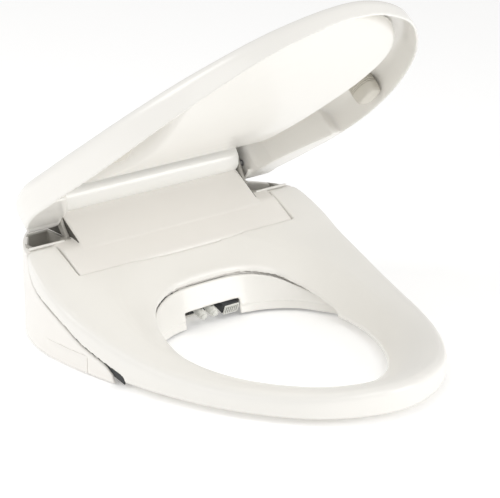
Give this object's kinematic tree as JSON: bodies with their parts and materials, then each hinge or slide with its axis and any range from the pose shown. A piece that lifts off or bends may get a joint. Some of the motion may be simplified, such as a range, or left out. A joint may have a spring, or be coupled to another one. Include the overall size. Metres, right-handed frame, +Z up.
{
  "type": "electric bidet seat",
  "caption": "Elongated electric bidet toilet seat with hinged contoured seat, domed lid held half open, sloping rear housing and extending wash nozzles.",
  "frame": {"origin": "midway between the two mounting-bolt slots, on the underside of the mounting plate", "axes": "+Z up, nose of the seat towards -Y, X across the width"},
  "size_m": [0.3888, 0.5054, 0.3999],
  "materials": {
    "shell": "satin gloss, warm off-white",
    "shell_inner": "satin, warm off-white",
    "dark": "matt moulded",
    "rubber": "matt elastomer",
    "steel": "satin",
    "brass": "machined",
    "circuit": "solder mask",
    "natural": "natural moulded"
  },
  "bodies": {
    "base": {"base_housing": "shell", "front_apron": "shell", "roll_cover": "shell", "base_tray": "shell_inner", "mounting_plate": "natural", "base_foot_front_left": "rubber", "base_foot_front_right": "rubber", "base_foot_rear_left": "rubber", "base_foot_rear_right": "rubber", "water_tank": "natural", "tank_cover": "natural", "tank_heating_coil": "steel", "solenoid_valve": "dark", "water_inlet_fitting": "brass", "water_pump": "dark", "nozzle_carriage": "dark", "nozzle_drive_motor": "steel", "dryer_duct": "dark", "dryer_grille": "natural", "dryer_fan_case": "dark", "dryer_fan_motor": "steel", "control_board": "circuit", "power_transformer": "steel", "cord_gland": "dark", "deodoriser_fan": "dark", "hinge_pin_left": "steel", "hinge_pin_right": "steel", "seat_damper": "dark", "lid_damper": "dark", "tray_screw_front_left": "steel", "tray_screw_front_right": "steel", "tray_screw_rear_left": "steel", "tray_screw_rear_right": "steel"},
    "seat": {"seat_upper_shell": "shell", "seat_lower_shell": "shell_inner", "seat_heater_mat": "steel", "seat_bumper_front_left": "rubber", "seat_bumper_front_right": "rubber", "seat_bumper_side_left": "rubber", "seat_bumper_side_right": "rubber", "seat_hinge_arm_left": "dark", "seat_hinge_arm_right": "dark"},
    "lid": {"lid_shell": "shell", "lid_liner": "shell_inner", "lid_bumper_left": "rubber", "lid_bumper_right": "rubber"},
    "rear_nozzle": {"rear_wash_nozzle": "natural"},
    "front_nozzle": {"front_wash_nozzle": "natural"},
    "filter": {"filter_cartridge": "shell"},
    "button": {"release_button": "shell_inner"},
    "fan_wheel": {"dryer_fan_wheel": "natural"}
  },
  "joints": [
    {"name": "seat_hinge", "type": "hinge", "parent": "base", "child": "seat", "pos_m": [0, -0.036, 0.128], "axis": [1, 0, 0], "range_deg": [-65, 0]},
    {"name": "lid_hinge", "type": "hinge", "parent": "seat", "child": "lid", "pos_m": [0, -0.036, 0.128], "axis": [-1, 0, 0], "range_deg": [-48.5, 61]},
    {"name": "rear_nozzle_slide", "type": "slide", "parent": "base", "child": "rear_nozzle", "axis": [0, -0.9272, -0.3746], "range_m": [0, 0.075]},
    {"name": "front_nozzle_slide", "type": "slide", "parent": "base", "child": "front_nozzle", "axis": [0, -0.9272, -0.3746], "range_m": [0, 0.065]},
    {"name": "release_button_press", "type": "slide", "parent": "base", "child": "button", "axis": [-1, 0, 0], "range_m": [0, 0.003], "stiffness_N_per_m": 400, "springref_m": -0.001},
    {"name": "filter_slide", "type": "slide", "parent": "base", "child": "filter", "axis": [-1, 0, 0], "range_m": [0, 0.06]},
    {"name": "fan_spin", "type": "hinge", "parent": "base", "child": "fan_wheel", "pos_m": [0.058, -0.046, 0.044], "axis": [1, 0, 0], "continuous": true}
  ]
}
